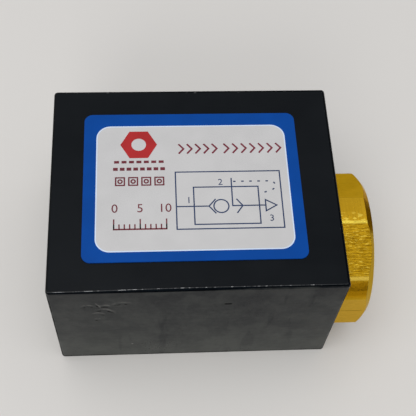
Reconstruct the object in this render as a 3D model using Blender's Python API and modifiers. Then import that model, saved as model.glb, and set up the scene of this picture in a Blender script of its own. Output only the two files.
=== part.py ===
"""Quick exhaust valve for compressed air.

A block carries an inlet port in its left end, an outlet port in its back and, screwed into its
right end, a hexagonal cap with the exhaust port. Between the inlet seat in the block and the
exhaust seat on the cap's tube slides a rubber lip seal. Air from the inlet pushes the seal on to
the exhaust seat and flows past its lip to the outlet. When the inlet is vented, the outlet's air
pushes the seal back and leaves through the cap.

Metres, +Z up. The origin is the middle of the block's bottom face, and +X points to the cap.
"""

import math

import bmesh
import bpy
from mathutils import Matrix

# Clearance between pieces that seat or slide on each other
FIT_GAP = 0.0003

# Pipe ports, all three alike
PORT_THREAD_D = 0.01666
PORT_THREAD_DEPTH = 0.012
PORT_CHAMFER = 0.0009
PORT_BORE_D = 0.0106
DRILL_TIP_ANGLE = math.radians(118)

# Valve chamber, along the valve axis from the inlet face
INLET_PASSAGE_LENGTH = 0.0085
INLET_SEAT_HEIGHT = 0.002
OUTLET_GALLERY_LENGTH = 0.018
CAP_THREAD_LENGTH = 0.0122
CHAMBER_D = 0.024
CHAMBER_FILLET = 0.001

# Raised seats, alike on the block and on the cap's tube
SEAT_WALL = 0.0021
SEAT_OUTER_CHAMFER = 0.0008
SEAT_INNER_CHAMFER = 0.0005

# Outlet port, in the back face
OUTLET_BORE_D = 0.011
OUTLET_PASSAGE_LENGTH = 0.007

# Block
WALL_ROUND_CAP = 0.0028
BLOCK_EDGE_RADIUS = 0.0004

# Exhaust cap
CAP_THREAD_D = 0.027
CAP_NECK_RELIEF = 0.0009
CAP_TURNED_D = 0.0333
CAP_ACROSS_FLATS = 0.0313
CAP_HEAD_THICKNESS = 0.00675
CAP_CHAMFER_WIDTH = 0.00175
CAP_CHAMFER_ANGLE = math.radians(40)
CAP_UNDER_CHAMFER = 0.0003
CAP_FLAT_TURN = math.radians(28.2)
CAP_THREAD_CHAMFER = 0.0008
CAP_TUBE_FILLET = 0.0012

# Seals
O_RING_SECTION = 0.0015
SEAL_THICKNESS = 0.004
SEAL_TRAVEL = 0.0026
SEAL_WEB = 0.0016
SEAL_BOSS_MARGIN = 0.0003
SEAL_LIP_THICKNESS = 0.0008
SEAL_LIP_SHORT = 0.0006
SEAL_LIP_FLARE = 0.0008
SEAL_EDGE_RADIUS = 0.0004

# Label on the top face
LABEL_LENGTH = 0.0455
LABEL_WIDTH = 0.0356
LABEL_THICKNESS = 0.0002
LABEL_CORNER_RADIUS = 0.0018
LABEL_GAP = 0.0001
LABEL_SHIFT_X = -0.00045
LABEL_SHIFT_Y = -0.0001

# Roundness of turned shapes, and how far a cutter passes the face it cuts
TURN_STEPS = 90
ARC_STEPS = 4
O_RING_SIDES = 12
OVERSHOOT = 0.001

# Radii used by more than one piece
port_thread_r = PORT_THREAD_D / 2
port_bore_r = PORT_BORE_D / 2
chamber_r = CHAMBER_D / 2
seat_outer_r = port_bore_r + SEAT_WALL
cap_thread_r = CAP_THREAD_D / 2
cap_neck_r = cap_thread_r - CAP_NECK_RELIEF
cap_recess_r = cap_neck_r + O_RING_SECTION + 2 * FIT_GAP
port_cone = (port_thread_r - port_bore_r) / math.tan(DRILL_TIP_ANGLE / 2)

# Stations along the valve axis, measured from the inlet face
inlet_seat_at = PORT_THREAD_DEPTH + INLET_PASSAGE_LENGTH
chamber_floor_at = inlet_seat_at - INLET_SEAT_HEIGHT
seal_at = inlet_seat_at + FIT_GAP
exhaust_seat_at = seal_at + SEAL_THICKNESS + SEAL_TRAVEL + FIT_GAP
outlet_at = exhaust_seat_at + OUTLET_GALLERY_LENGTH / 2
gallery_end_at = exhaust_seat_at + OUTLET_GALLERY_LENGTH
recess_floor_at = gallery_end_at + CAP_THREAD_LENGTH
block_length = recess_floor_at + O_RING_SECTION + 2 * FIT_GAP
cap_under_at = block_length + FIT_GAP
cap_face_at = cap_under_at + CAP_HEAD_THICKNESS

# The block's section follows from the recess round the cap and the outlet behind the chamber
axis_from_front = cap_recess_r + WALL_ROUND_CAP
block_height = 2 * axis_from_front
block_depth = axis_from_front + chamber_r + OUTLET_PASSAGE_LENGTH + PORT_THREAD_DEPTH
axis_y = axis_from_front - block_depth / 2
axis_z = block_height / 2


def clear_scene():
    """Remove every object of the open scene."""
    for obj in list(bpy.data.objects):
        bpy.data.objects.remove(obj, do_unlink=True)


def new_collection(name, helper=False):
    """Add a collection to the scene. A helper collection stays out of renders."""
    collection = bpy.data.collections.new(name)
    collection.hide_render = helper
    bpy.context.scene.collection.children.link(collection)
    return collection


def new_material(name, color, roughness, metallic):
    """Make a Principled material of one colour and finish."""
    material = bpy.data.materials.new(name)
    material.use_nodes = True
    shader = material.node_tree.nodes["Principled BSDF"]
    shader.inputs["Base Color"].default_value = (*color, 1.0)
    shader.inputs["Roughness"].default_value = roughness
    shader.inputs["Metallic"].default_value = metallic
    material.diffuse_color = (*color, 1.0)
    return material


def new_object(name, mesh, collection, material=None):
    """Link a new object for the mesh. Without a material it is a cutter, drawn as wire."""
    obj = bpy.data.objects.new(name, mesh)
    collection.objects.link(obj)
    if material:
        mesh.materials.append(material)
    else:
        obj.hide_render = True
        obj.display_type = "WIRE"
    return obj


def arc(center_r, center_at, radius, start, end):
    """Points (r, at) of an arc. Angles in degrees: 0 points outwards, 90 along the axis."""
    points = []
    for step in range(ARC_STEPS + 1):
        angle = math.radians(start + (end - start) * step / ARC_STEPS)
        points.append((center_r + radius * math.cos(angle), center_at + radius * math.sin(angle)))
    return points


def turned(name, profile, collection, material=None, ring=False):
    """Turn a profile of (r, at) points about the object's Z axis.

    The profile runs down its outer side, from the far end to the near end. A ring's profile
    closes on itself, and any other starts and ends on the axis.
    """
    mesh = bpy.data.meshes.new(name)
    points = [(r, 0.0, at) for r, at in profile]
    edges = [(i, i + 1) for i in range(len(points) - 1)]
    if ring:
        edges.append((len(points) - 1, 0))
    mesh.from_pydata(points, edges, [])
    obj = new_object(name, mesh, collection, material)
    screw = obj.modifiers.new("Turn", "SCREW")
    screw.steps = TURN_STEPS
    screw.render_steps = TURN_STEPS
    screw.use_smooth_shade = True
    screw.use_merge_vertices = not ring
    screw.merge_threshold = 0.00001
    return obj


def lay_on_valve_axis(obj, at=0.0):
    """Put the object's origin on the valve axis, with its Z axis along world +X."""
    obj.rotation_euler = (0.0, math.pi / 2, 0.0)
    obj.location = (at - block_length / 2, axis_y, axis_z)


def cut(obj, cutter):
    """Cut the cutter out of the object."""
    boolean = obj.modifiers.new("Cut " + cutter.name, "BOOLEAN")
    boolean.operation = "DIFFERENCE"
    boolean.solver = "EXACT"
    boolean.object = cutter


def apply_modifiers(obj):
    """Turn the evaluated shape into the object's own mesh, smooth but for its real edges."""
    bpy.context.view_layer.update()
    evaluated = obj.evaluated_get(bpy.context.evaluated_depsgraph_get())
    mesh = bpy.data.meshes.new_from_object(evaluated)
    obj.modifiers.clear()
    old_mesh = obj.data
    obj.data = mesh
    bpy.data.meshes.remove(old_mesh)
    mesh.name = obj.name
    mesh.shade_smooth()
    mesh.set_sharp_from_angle(angle=math.radians(30))


def seat_rim(tip_at, side):
    """Rim of a raised seat, from its bore out. side is 1 where the seat's wall lies on the +at side."""
    return [
        (port_bore_r, tip_at + side * SEAT_INNER_CHAMFER),
        (port_bore_r + SEAT_INNER_CHAMFER, tip_at),
        (seat_outer_r - SEAT_OUTER_CHAMFER, tip_at),
        (seat_outer_r, tip_at + side * SEAT_OUTER_CHAMFER),
    ]


def port_mouth(face_at, side):
    """Thread bore and drill cone of a port, from its bore out. side is 1 for a port facing +at."""
    bottom_at = face_at - side * PORT_THREAD_DEPTH
    return [
        (port_bore_r, bottom_at - side * port_cone),
        (port_thread_r, bottom_at),
        (port_thread_r, face_at - side * PORT_CHAMFER),
        (port_thread_r + PORT_CHAMFER, face_at),
    ]


def make_valve_bore(cutters):
    """Cutter for the cap's recess and thread, the chamber, the inlet seat and the inlet port."""
    fillet_r = chamber_r - CHAMBER_FILLET
    fillet_at = chamber_floor_at + CHAMBER_FILLET
    profile = [
        (0.0, block_length + OVERSHOOT),
        (cap_recess_r, block_length + OVERSHOOT),
        (cap_recess_r, recess_floor_at),
        (cap_thread_r, recess_floor_at),
        (cap_thread_r, gallery_end_at),
        (chamber_r, gallery_end_at - (cap_thread_r - chamber_r)),
    ]
    profile += arc(fillet_r, fillet_at, CHAMBER_FILLET, 0, -90)
    profile.append((seat_outer_r, chamber_floor_at))
    profile += reversed(seat_rim(inlet_seat_at, -1))
    profile += port_mouth(0.0, -1)
    profile.append((port_thread_r + PORT_CHAMFER, -OVERSHOOT))
    profile.append((0.0, -OVERSHOOT))
    cutter = turned("valve_bore", profile, cutters)
    lay_on_valve_axis(cutter)
    return cutter


def make_outlet_bore(cutters):
    """Cutter for the outlet port and its passage, from the back face to the valve axis."""
    outlet_bore_r = OUTLET_BORE_D / 2
    face_at = block_depth / 2 - axis_y
    bottom_at = face_at - PORT_THREAD_DEPTH
    cone = (port_thread_r - outlet_bore_r) / math.tan(DRILL_TIP_ANGLE / 2)
    profile = [
        (0.0, face_at + OVERSHOOT),
        (port_thread_r + PORT_CHAMFER, face_at + OVERSHOOT),
        (port_thread_r + PORT_CHAMFER, face_at),
        (port_thread_r, face_at - PORT_CHAMFER),
        (port_thread_r, bottom_at),
        (outlet_bore_r, bottom_at - cone),
        (outlet_bore_r, 0.0),
        (0.0, 0.0),
    ]
    cutter = turned("outlet_bore", profile, cutters)
    cutter.rotation_euler = (-math.pi / 2, 0.0, 0.0)
    cutter.location = (outlet_at - block_length / 2, axis_y, axis_z)
    return cutter


def make_valve_body(parts, cutters):
    """The block: a bar cut to length with broken edges, bored from its right end and its back."""
    box = bmesh.new()
    bmesh.ops.create_cube(box, size=1.0)
    bmesh.ops.scale(box, vec=(block_length, block_depth, block_height), verts=box.verts)
    mesh = bpy.data.meshes.new("valve_body")
    box.to_mesh(mesh)
    box.free()
    material = new_material("black_anodised_aluminium", (0.012, 0.013, 0.014), 0.42, 0.3)
    body = new_object("valve_body", mesh, parts, material)
    body.location = (0.0, 0.0, block_height / 2)
    bevel = body.modifiers.new("Broken edges", "BEVEL")
    bevel.width = BLOCK_EDGE_RADIUS
    bevel.segments = 2
    cut(body, make_valve_bore(cutters))
    cut(body, make_outlet_bore(cutters))
    apply_modifiers(body)


def make_prism(name, radius, sides, height, collection):
    """A regular prism about its own Z axis, with a corner at the radius."""
    prism = bmesh.new()
    bmesh.ops.create_cone(prism, cap_ends=True, segments=sides, radius1=radius, radius2=radius, depth=height)
    mesh = bpy.data.meshes.new(name)
    prism.to_mesh(mesh)
    prism.free()
    return new_object(name, mesh, collection)


def make_flats_cutter(cutters):
    """Ring with a hexagonal hole, which leaves the cap's head with six flats.

    Unturned, one flat faces up. The cap's thread stops it turned on towards the front.
    """
    height = FIT_GAP + CAP_HEAD_THICKNESS + OVERSHOOT
    corner_r = CAP_ACROSS_FLATS / 2 / math.cos(math.pi / 6)
    ring = make_prism("cap_flats", CAP_TURNED_D, TURN_STEPS, height, cutters)
    hexagon = make_prism("cap_hexagon", corner_r, 6, height + 2 * OVERSHOOT, cutters)
    hexagon.data.transform(Matrix.Rotation(CAP_FLAT_TURN, 4, "Z"))
    for prism in (ring, hexagon):
        lay_on_valve_axis(prism, block_length + height / 2)
    cut(ring, hexagon)
    return ring


def make_exhaust_cap(parts, cutters):
    """The cap: hexagonal head, O-ring neck, thread, and the tube that carries the exhaust seat."""
    turned_r = CAP_TURNED_D / 2
    shank_r = cap_thread_r - FIT_GAP
    shank_end_at = gallery_end_at + FIT_GAP
    chamfer_height = CAP_CHAMFER_WIDTH * math.tan(CAP_CHAMFER_ANGLE)
    port = port_mouth(cap_face_at, 1)
    fillet_r = seat_outer_r + CAP_TUBE_FILLET
    fillet_at = shank_end_at - CAP_TUBE_FILLET
    profile = [
        (turned_r - CAP_CHAMFER_WIDTH, cap_face_at),
        (turned_r, cap_face_at - chamfer_height),
        (turned_r, cap_under_at + CAP_UNDER_CHAMFER),
        (turned_r - CAP_UNDER_CHAMFER, cap_under_at),
        (cap_neck_r, cap_under_at),
        (cap_neck_r, recess_floor_at),
        (shank_r, recess_floor_at - (shank_r - cap_neck_r)),
        (shank_r, shank_end_at + CAP_THREAD_CHAMFER),
        (shank_r - CAP_THREAD_CHAMFER, shank_end_at),
    ]
    profile += arc(fillet_r, fillet_at, CAP_TUBE_FILLET, 90, 180)
    profile += reversed(seat_rim(exhaust_seat_at, 1))
    profile += port
    material = new_material("gold_anodised_aluminium", (0.42, 0.24, 0.03), 0.34, 1.0)
    cap = turned("exhaust_cap", profile, parts, material, ring=True)
    lay_on_valve_axis(cap)
    cut(cap, make_flats_cutter(cutters))
    apply_modifiers(cap)


def make_lip_seal(parts):
    """The moving seal: a disc faced for both seats, with a lip that flares towards the outlet."""
    edge = SEAL_EDGE_RADIUS
    lip_r = chamber_r - FIT_GAP
    lip_inner_r = lip_r - SEAL_LIP_THICKNESS
    lip_root_r = lip_r - SEAL_LIP_FLARE
    lip_at = SEAL_THICKNESS - SEAL_LIP_SHORT
    boss_r = seat_outer_r + SEAL_BOSS_MARGIN
    profile = [(0.0, SEAL_THICKNESS)]
    profile += arc(boss_r - edge, SEAL_THICKNESS - edge, edge, 90, 0)
    profile += arc(boss_r + edge, SEAL_WEB + edge, edge, 180, 270)
    profile += arc(lip_inner_r - SEAL_LIP_FLARE - edge, SEAL_WEB + edge, edge, 270, 315)
    profile += [
        (lip_inner_r, lip_at),
        (lip_r - SEAL_LIP_THICKNESS / 2, lip_at),
        (lip_r, lip_at - SEAL_LIP_THICKNESS / 2),
        (lip_root_r, edge),
        (lip_root_r - edge, 0.0),
        (0.0, 0.0),
    ]
    material = new_material("nitrile_rubber", (0.02, 0.02, 0.02), 0.6, 0.0)
    seal = turned("lip_seal", profile, parts, material)
    lay_on_valve_axis(seal, seal_at)
    apply_modifiers(seal)


def make_cap_o_ring(parts):
    """The O-ring round the cap's neck, in the block's recess."""
    section_r = O_RING_SECTION / 2
    middle_r = cap_neck_r + FIT_GAP + section_r
    profile = []
    for side in range(O_RING_SIDES):
        angle = -2 * math.pi * side / O_RING_SIDES
        profile.append((middle_r + section_r * math.cos(angle), section_r * math.sin(angle)))
    material = new_material("o_ring_rubber", (0.03, 0.03, 0.03), 0.5, 0.0)
    ring = turned("cap_o_ring", profile, parts, material, ring=True)
    lay_on_valve_axis(ring, recess_floor_at + FIT_GAP + section_r)
    apply_modifiers(ring)


def make_label(parts):
    """The foil label: a thin plate with rounded corners, level on the top face."""
    plate = bmesh.new()
    bmesh.ops.create_cube(plate, size=1.0)
    bmesh.ops.scale(plate, vec=(LABEL_LENGTH, LABEL_WIDTH, LABEL_THICKNESS), verts=plate.verts)
    upright = [e for e in plate.edges if abs(e.verts[0].co.z - e.verts[1].co.z) > LABEL_THICKNESS / 2]
    bmesh.ops.bevel(
        plate, geom=upright, offset=LABEL_CORNER_RADIUS, segments=2 * ARC_STEPS, profile=0.5, affect="EDGES"
    )
    mesh = bpy.data.meshes.new("label")
    plate.to_mesh(mesh)
    plate.free()
    material = new_material("label_foil", (0.1, 0.25, 0.55), 0.35, 0.0)
    label = new_object("label", mesh, parts, material)
    label.location = (LABEL_SHIFT_X, LABEL_SHIFT_Y, block_height + LABEL_GAP + LABEL_THICKNESS / 2)


def main():
    clear_scene()
    parts = new_collection("quick_exhaust_valve")
    cutters = new_collection("cutters", helper=True)
    make_valve_body(parts, cutters)
    make_exhaust_cap(parts, cutters)
    make_lip_seal(parts)
    make_cap_o_ring(parts)
    make_label(parts)


main()
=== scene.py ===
import math

import bmesh
import bpy
from mathutils import Euler, Matrix, Vector


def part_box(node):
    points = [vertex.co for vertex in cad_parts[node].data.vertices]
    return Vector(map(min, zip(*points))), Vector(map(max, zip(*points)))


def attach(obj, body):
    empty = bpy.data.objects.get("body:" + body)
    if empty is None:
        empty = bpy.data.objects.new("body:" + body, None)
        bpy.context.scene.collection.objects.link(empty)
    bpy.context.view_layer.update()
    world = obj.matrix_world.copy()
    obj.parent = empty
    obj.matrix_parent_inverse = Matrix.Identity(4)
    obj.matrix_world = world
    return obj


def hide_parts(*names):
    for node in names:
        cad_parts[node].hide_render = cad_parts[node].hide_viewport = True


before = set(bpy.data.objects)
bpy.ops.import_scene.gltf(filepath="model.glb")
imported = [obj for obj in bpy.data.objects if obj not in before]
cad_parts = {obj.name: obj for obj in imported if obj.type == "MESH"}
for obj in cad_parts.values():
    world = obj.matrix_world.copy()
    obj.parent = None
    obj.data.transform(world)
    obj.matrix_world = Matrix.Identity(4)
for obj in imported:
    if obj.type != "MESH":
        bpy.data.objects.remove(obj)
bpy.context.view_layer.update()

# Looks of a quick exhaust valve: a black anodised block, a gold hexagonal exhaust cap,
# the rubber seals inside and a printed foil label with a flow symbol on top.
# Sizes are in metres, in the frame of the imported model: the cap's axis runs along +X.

MM = 0.001

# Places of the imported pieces
BLOCK_LOW, BLOCK_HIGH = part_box("valve_body")
CAP_LOW, CAP_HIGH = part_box("exhaust_cap")
LABEL_LOW, LABEL_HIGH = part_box("label")
BLOCK_CENTRE = (BLOCK_LOW + BLOCK_HIGH) / 2
BLOCK_HALF = (BLOCK_HIGH - BLOCK_LOW) / 2
VALVE_AXIS = Vector((0.0, (CAP_LOW.y + CAP_HIGH.y) / 2, (CAP_LOW.z + CAP_HIGH.z) / 2))
BODY_HOUSING = "housing"
BODY_SEAL = "seal"
MERGE_DISTANCE = 0.001 * MM

# The block's edges. The painted floor reflection on its sides starts higher towards the cap, by EDGE_SLANT
# times X.
EDGE_SLANT = 0.0245
EDGE_RADIUS = 0.4 * MM
UPRIGHT_EDGE_RADIUS = 0.75 * MM

# Pipe thread of the three ports, and the cap's own thread
PORT_PITCH = 1.337 * MM
PORT_ROOT_RADIUS = 8.33 * MM
PORT_TOOTH_HEIGHT = 0.82 * MM
PORT_THREAD_LENGTH = 10.6 * MM
PORT_MOUTH_DEPTH = 0.9 * MM
OUTLET_X = 6.7 * MM
CAP_THREAD_PITCH = 1.5 * MM
CAP_SHANK_RADIUS = 13.2 * MM
CAP_TOOTH_HEIGHT = 0.24 * MM
CAP_THREAD_START = 17.4 * MM
CAP_THREAD_LENGTH = 8.6 * MM
TOOTH_SINK = 0.06 * MM
THREAD_STEPS_A_TURN = 64

# The hexagon of the cap and the circle that its corners are turned to
HEX_ACROSS_FLATS = 31.3 * MM
CAP_TURNED_RADIUS = 16.65 * MM
HEX_FLAT_TURNS = (-1.8, 58.2, 118.2)
CAP_CHAMFER_INNER_RADIUS = 14.9 * MM
CAP_CHAMFER_SLOPE = 1.0 / math.tan(math.radians(40.0))
# Turns about the valve axis, in degrees, of marks on the gold; several are painted highlight, glint, shade or
# reflection.
EDGE_HIGHLIGHT_TURN = 98.2
SHADED_TURN = 84.0
DARK_REFLECTION_TURN = 149.0
GLINT_TURN = 95.5
BAND_HIGHLIGHT_TURN = 139.7
COARSE_TURN = 118.2
DARK_LINE_TURN = 176.6
LOW_FLAT_SHEEN_TURN = 178.2
CAP_HEAD_BACK = 30.3 * MM
CAP_UNDER_CHAMFER = 0.3 * MM
HEAD_GAP = 0.04 * MM
HEAD_SQUEEZE = 0.25
HEAD_TRIM = 0.12 * MM

# The label, and where its print lies
FILM_SIZE = Vector((45.5, 35.6)) * MM
FILM_CENTRE = Vector((-0.45, -0.10)) * MM
FILM_CORNER = 1.8 * MM
PANEL_SIZE = Vector((40.45, 30.3)) * MM
PANEL_CENTRE = Vector((-0.36, -0.54)) * MM
PANEL_CORNER = 3.0 * MM
PANEL_RIM = 0.25 * MM
FILM_TOP = LABEL_HIGH.z - 0.060 * MM
RIM_TOP = LABEL_HIGH.z - 0.046 * MM
PANEL_TOP = LABEL_HIGH.z - 0.034 * MM
LAYER_SINK = 0.004 * MM         # each layer of the label reaches this far into the one below
PRINT_TOP = LABEL_HIGH.z - 0.018 * MM
PRINT_LAYER = 0.0015 * MM
PRINT_THICKNESS = 0.020 * MM
SYMBOL_LINE = 0.27 * MM

# Camera of the photograph, for a picture of 416 by 416 pixels
CAMERA_PLACE = Vector((-9.212, -94.706, 191.956)) * MM
CAMERA_TURN = (29.622, -2.722, -2.706)
CAMERA_LENS = 76.09
CAMERA_SENSOR = 36.0


# Node helpers

def add_node(tree, kind, values=None, **settings):
    """Adds a node. values maps a socket's name or number to a value or to a node's output."""
    node = tree.nodes.new(kind)
    for name, setting in settings.items():
        setattr(node, name, setting)
    for key, value in (values or {}).items():
        if isinstance(value, bpy.types.NodeSocket):
            tree.links.new(value, node.inputs[key])
        else:
            node.inputs[key].default_value = value
    return node


def calc(tree, operation, *terms, clamp=False):
    """The output of a Math node."""
    values = dict(enumerate(terms))
    return add_node(tree, "ShaderNodeMath", values, operation=operation, use_clamp=clamp).outputs[0]


def vector_calc(tree, operation, *terms, result="Vector"):
    """An output of a Vector Math node. The last input of SCALE is called Scale."""
    node = add_node(tree, "ShaderNodeVectorMath", operation=operation)
    keys = (0, "Scale") if operation == "SCALE" else (0, 1, 2)
    for key, term in zip(keys, terms):
        if isinstance(term, bpy.types.NodeSocket):
            tree.links.new(term, node.inputs[key])
        else:
            node.inputs[key].default_value = term
    return node.outputs[result]


def rescale(tree, value, low, high, new_low=0.0, new_high=1.0):
    """value eased from new_low at low to new_high at high, and held outside them."""
    values = {"Value": value, "From Min": low, "From Max": high, "To Min": new_low, "To Max": new_high}
    return add_node(tree, "ShaderNodeMapRange", values, interpolation_type="SMOOTHSTEP").outputs["Result"]


def noise(tree, place, scale, detail=2.0, roughness=0.5):
    """Smooth noise around 0.5."""
    values = {"Vector": place, "Scale": scale, "Detail": detail, "Roughness": roughness}
    return add_node(tree, "ShaderNodeTexNoise", values).outputs["Fac"]


def tint(tree, share, first, second):
    """A colour that goes from first to second."""
    node = add_node(tree, "ShaderNodeMix", {0: share, 6: first, 7: second}, data_type="RGBA")
    return node.outputs[2]


def coat(tree, colour, layers):
    """The colour with the layers laid over it in turn. Each is a mask, its strength and its shade."""
    for mask, strength, shade in layers:
        colour = tint(tree, calc(tree, "MULTIPLY", mask, strength), colour, (*shade, 1.0))
    return colour


def new_group(name, kind, inputs, outputs):
    """A node group with its named sockets, and the ends that its nodes are joined to."""
    tree = bpy.data.node_groups.new(name, kind)
    for direction, sockets in (("INPUT", inputs), ("OUTPUT", outputs)):
        for label, socket_type, value in sockets:
            socket = tree.interface.new_socket(name=label, in_out=direction, socket_type=socket_type)
            if value is not None:
                socket.default_value = value
    return tree, tree.nodes.new("NodeGroupInput").outputs, tree.nodes.new("NodeGroupOutput").inputs


def use_group(tree, group, values):
    """The outputs of a group placed in a tree."""
    kind = "ShaderNodeGroup" if tree.bl_idname == "ShaderNodeTree" else "GeometryNodeGroup"
    node = add_node(tree, kind, node_tree=group)
    for key, value in values.items():
        if isinstance(value, bpy.types.NodeSocket):
            tree.links.new(value, node.inputs[key])
        else:
            node.inputs[key].default_value = value
    return node.outputs


FLOAT = "NodeSocketFloat"
VECTOR = "NodeSocketVector"


# Effects that several finishes share

def make_surface_grain():
    """Grain is the fine pitting of a finish, Cloud its slow change from place to place."""
    tree, given, made = new_group(
        "surface_grain", "ShaderNodeTree",
        [("Position", VECTOR, None), ("Grain Scale", FLOAT, 3000.0), ("Cloud Scale", FLOAT, 60.0)],
        [("Grain", FLOAT, None), ("Cloud", FLOAT, None)])
    grain = noise(tree, given["Position"], given["Grain Scale"], detail=3.0, roughness=0.6)
    cloud = noise(tree, given["Position"], given["Cloud Scale"], detail=2.0, roughness=0.55)
    tree.links.new(rescale(tree, grain, 0.25, 0.75), made["Grain"])
    tree.links.new(rescale(tree, cloud, 0.3, 0.7), made["Cloud"])
    return tree


def make_dust_specks():
    """Small separate specks of dust, each with its own size. Share is the part of the cells that hold one."""
    tree, given, made = new_group(
        "dust_specks", "ShaderNodeTree",
        [("Position", VECTOR, None), ("Scale", FLOAT, 300.0), ("Size", FLOAT, 0.09), ("Share", FLOAT, 0.1)],
        [("Specks", FLOAT, None)])
    cells = add_node(tree, "ShaderNodeTexVoronoi", {"Vector": given["Position"], "Scale": given["Scale"]})
    chance = add_node(tree, "ShaderNodeSeparateColor", {"Color": cells.outputs["Color"]})
    reach = calc(tree, "MULTIPLY", given["Size"], calc(tree, "ADD", chance.outputs["Green"], 0.3))
    inside = rescale(tree, calc(tree, "DIVIDE", cells.outputs["Distance"], reach), 1.0, 0.6)
    held = calc(tree, "LESS_THAN", chance.outputs["Red"], given["Share"])
    tree.links.new(calc(tree, "MULTIPLY", inside, held), made["Specks"])
    return tree


def make_drawn_lines():
    """Broken fine lines along one direction, from a place already stretched along that direction."""
    tree, given, made = new_group(
        "drawn_lines", "ShaderNodeTree",
        [("Stretched", VECTOR, None), ("Scale", FLOAT, 1.0), ("Fineness", FLOAT, 0.06), ("Share", FLOAT, 0.5)],
        [("Lines", FLOAT, None), ("Bands", FLOAT, None)])
    field = noise(tree, given["Stretched"], given["Scale"], detail=4.0, roughness=0.65)
    away = calc(tree, "ABSOLUTE", calc(tree, "SUBTRACT", field, 0.5))
    line = rescale(tree, away, given["Fineness"], 0.0)
    gate_place = vector_calc(tree, "ADD", given["Stretched"], (3.7, 1.9, 8.3))
    gate = noise(tree, gate_place, calc(tree, "MULTIPLY", given["Scale"], 0.37), detail=1.0)
    held = calc(tree, "GREATER_THAN", given["Share"], rescale(tree, gate, 0.3, 0.7))
    tree.links.new(calc(tree, "MULTIPLY", line, held), made["Lines"])
    tree.links.new(rescale(tree, field, 0.3, 0.7), made["Bands"])
    return tree


def make_edge_wear():
    """Nicks along a box's edges with a faint painted highlight line on its front top edge, a dark
    painted-shade line under its top edges, and its edge band, which the black finish darkens as painted shade.
    Nicks are commoner on its front top edge.
    """
    tree, given, made = new_group(
        "edge_wear", "ShaderNodeTree",
        [("Position", VECTOR, None), ("Box Centre", VECTOR, None), ("Box Half Size", VECTOR, None),
         ("Nick Width", FLOAT, 0.00007), ("Nick Line", FLOAT, 0.0003), ("Front Bias", FLOAT, 0.20),
         ("Painted Highlight Line", FLOAT, 0.17), ("Edge", FLOAT, 1.0)],
        [("Nicks", FLOAT, None), ("Rim", FLOAT, None), ("Dark Edge Line", FLOAT, None)])
    offset = vector_calc(tree, "SUBTRACT", given["Position"], given["Box Centre"])
    depth = vector_calc(tree, "SUBTRACT", given["Box Half Size"], vector_calc(tree, "ABSOLUTE", offset))
    axes = add_node(tree, "ShaderNodeSeparateXYZ", {0: depth}).outputs
    signed = add_node(tree, "ShaderNodeSeparateXYZ", {0: offset}).outputs
    nearer = calc(tree, "MINIMUM", axes["X"], axes["Y"])
    farther = calc(tree, "MAXIMUM", axes["X"], axes["Y"])
    edge_distance = calc(tree, "MAXIMUM", nearer, calc(tree, "MINIMUM", farther, axes["Z"]))
    cluster = noise(tree, given["Position"], 160.0, detail=1.0)
    dash = noise(tree, vector_calc(tree, "MULTIPLY", given["Position"], (0.5, 1.0, 1.0)), 1400.0, detail=2.0)
    ragged = noise(tree, given["Position"], 3500.0, detail=1.0)
    amount = calc(tree, "MULTIPLY_ADD", cluster, 0.3, dash)
    amount = calc(tree, "MULTIPLY_ADD", ragged, 0.25, amount)
    on_front = calc(tree, "MULTIPLY", rescale(tree, axes["Y"], 0.0012, 0.0004),
                    calc(tree, "LESS_THAN", signed["Y"], 0.0))
    on_top = calc(tree, "MULTIPLY", rescale(tree, axes["Z"], 0.0002, 0.0001),
                  calc(tree, "GREATER_THAN", signed["Z"], 0.0))
    at_front_top = calc(tree, "MULTIPLY", on_front, on_top)
    amount = calc(tree, "MULTIPLY_ADD", at_front_top, given["Front Bias"], amount)
    # A faint continuous line along the front top edge: a painted highlight, joined to the nicks.
    painted_highlight = calc(tree, "MULTIPLY", calc(tree, "MULTIPLY", at_front_top, given["Painted Highlight Line"]),
                 rescale(tree, ragged, 0.25, 0.55, 0.35, 1.0))
    nick_or_highlight = calc(tree, "MAXIMUM", rescale(tree, amount, 0.92, 1.12), painted_highlight)
    from_line = calc(tree, "ABSOLUTE", calc(tree, "SUBTRACT", edge_distance, given["Nick Line"]))
    reach = calc(tree, "SUBTRACT", given["Nick Width"], from_line)
    below_top = rescale(tree, axes["Z"], 0.00010, 0.00016)
    beside_front = rescale(tree, axes["Z"], 0.0012, 0.0008)
    kept = calc(tree, "SUBTRACT", 1.0, calc(tree, "MULTIPLY", below_top, beside_front))
    line = calc(tree, "MULTIPLY", rescale(tree, reach, 0.0, 0.00005), kept)
    tree.links.new(calc(tree, "MULTIPLY", line, nick_or_highlight), made["Nicks"])
    tree.links.new(rescale(tree, edge_distance, 0.0006, 0.0003), made["Rim"])
    # Painted shade: a dark line just under the top edges, drawn as metal with the black base colour.
    upper_edge = calc(tree, "MULTIPLY", rescale(tree, axes["Z"], 0.0009, 0.0007),
                      calc(tree, "GREATER_THAN", signed["Z"], 0.0))
    outside_line = calc(tree, "SUBTRACT", given["Nick Line"], edge_distance)
    dark_edge_line = calc(tree, "MULTIPLY", upper_edge, rescale(tree, outside_line, 0.00002, 0.00012))
    tree.links.new(calc(tree, "MULTIPLY", dark_edge_line, given["Edge"]), made["Dark Edge Line"])
    return tree


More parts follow.
